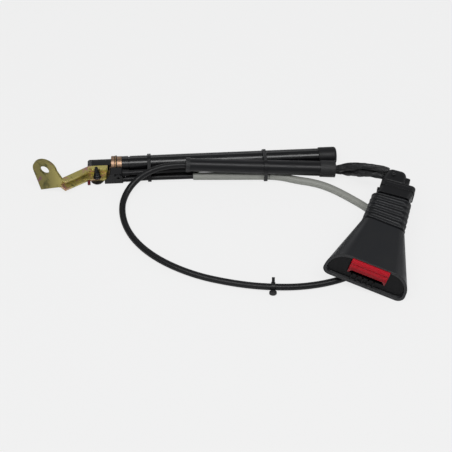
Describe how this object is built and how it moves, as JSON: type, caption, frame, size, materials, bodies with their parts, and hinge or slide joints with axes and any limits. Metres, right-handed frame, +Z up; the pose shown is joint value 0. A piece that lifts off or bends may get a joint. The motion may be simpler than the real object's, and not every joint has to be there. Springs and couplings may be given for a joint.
{
  "type": "seat belt buckle pretensioner",
  "caption": "Piston tube with gas generator and anchor bracket, its rope sheath and guide elbow, and a booted buckle with a press button on looped leads.",
  "frame": {"origin": "middle of the base of the unit as it lies on the bench, at bench height, cords left out", "axes": "+X along the piston tube away from its bracket, -Y towards the buckle's mouth side, +Z up from the bench"},
  "size_m": [0.3446, 0.1763, 0.04],
  "materials": {
    "zinc_chromate_steel": "yellow zinc chromate",
    "black_painted_steel": "gloss black paint",
    "die_cast_zinc": "passivated die casting",
    "brass_ring": "bright",
    "bright_steel": "bright",
    "wire_rope_steel": "stranded",
    "black_moulding": "fine grain",
    "black_rubber": "soft satin",
    "black_sheath": "smooth",
    "black_sleeve": "satin",
    "grey_conduit": "smooth",
    "cloth_tape": "wound cloth tape",
    "black_nylon": "smooth",
    "red_button_plastic": "gloss",
    "dark_red_plastic": "smooth",
    "seal_rubber": "matte"
  },
  "bodies": {
    "anchor": {"anchor_bracket": "zinc_chromate_steel", "fir_tree_clip": "black_nylon", "clip_lock_tab": "dark_red_plastic", "housing_cover": "black_moulding", "housing_base": "black_moulding", "manifold_block": "die_cast_zinc", "guide_housing": "black_moulding", "gas_generator": "bright_steel", "crimp_ring": "brass_ring", "igniter_plug": "black_moulding", "igniter_lead": "black_sheath", "sheath_ferrule": "bright_steel", "lead_gland": "black_rubber", "piston_tube": "black_painted_steel", "tube_end_cap": "black_moulding", "rope_run": "wire_rope_steel", "feed_lead": "black_sheath", "rope_sheath": "black_sheath", "harness_sleeve": "black_sleeve", "sleeve_end_ring": "black_nylon", "sleeve_end_tape": "cloth_tape", "conduit_held": "grey_conduit", "conduit_free": "grey_conduit", "conduit_end": "black_rubber", "loop_lead": "black_sheath", "loop_tie": "black_nylon", "tie_left": "black_nylon", "tie_right": "black_nylon", "guide_collar": "black_moulding", "guide_elbow": "black_moulding", "guide_rivet": "dark_red_plastic", "switch_lead": "cloth_tape", "switch_wire": "black_sheath", "bellows_boot": "black_rubber"},
    "piston_unit": {"piston": "bright_steel", "piston_seal": "seal_rubber", "lock_balls": "bright_steel", "rope_end_ferrule": "bright_steel", "piston_rope": "wire_rope_steel"},
    "buckle": {"buckle_cover": "black_rubber", "mouth_bezel": "black_moulding", "buckle_frame": "bright_steel", "frame_tray": "black_moulding", "latch_pin": "bright_steel", "button_springs": "bright_steel", "ejector_springs": "bright_steel", "rope_fitting": "bright_steel", "buckle_rope": "wire_rope_steel"},
    "latch": {"latch_lever": "bright_steel"},
    "tongue_ejector": {"ejector": "black_moulding"},
    "button": {"release_button": "red_button_plastic"}
  },
  "joints": [
    {"name": "buckle_retract", "type": "slide", "parent": "anchor", "child": "buckle", "axis": [0.3812, 0.9204, 0.0872], "range_m": [0, 0.018], "deforming": ["bellows_boot", "rope_run"]},
    {"name": "piston_stroke", "type": "slide", "parent": "anchor", "child": "piston_unit", "axis": [1, 0, 0], "range_m": [0, 0.018]},
    {"name": "button_press", "type": "slide", "parent": "buckle", "child": "button", "axis": [0.3812, 0.9204, 0.0872], "range_m": [0, 0.005], "stiffness_N_per_m": 400, "springref_m": -0.002, "deforming": ["button_springs"]},
    {"name": "latch_release", "type": "hinge", "parent": "buckle", "child": "latch", "pos_m": [0.13262, -0.04046, 0.02743], "axis": [-0.9106, 0.3576, 0.2071], "range_deg": [0, 12]},
    {"name": "ejector_travel", "type": "slide", "parent": "buckle", "child": "tongue_ejector", "axis": [0.3812, 0.9204, 0.0872], "range_m": [0, 0.007], "stiffness_N_per_m": 300, "springref_m": -0.002, "deforming": ["ejector_springs"]}
  ],
  "couplings": [
    {"joint": "piston_stroke", "follows": "buckle_retract", "ratio": 1},
    {"joint": "latch_release", "follows": "button_press", "rad_per_m": 41.8}
  ]
}
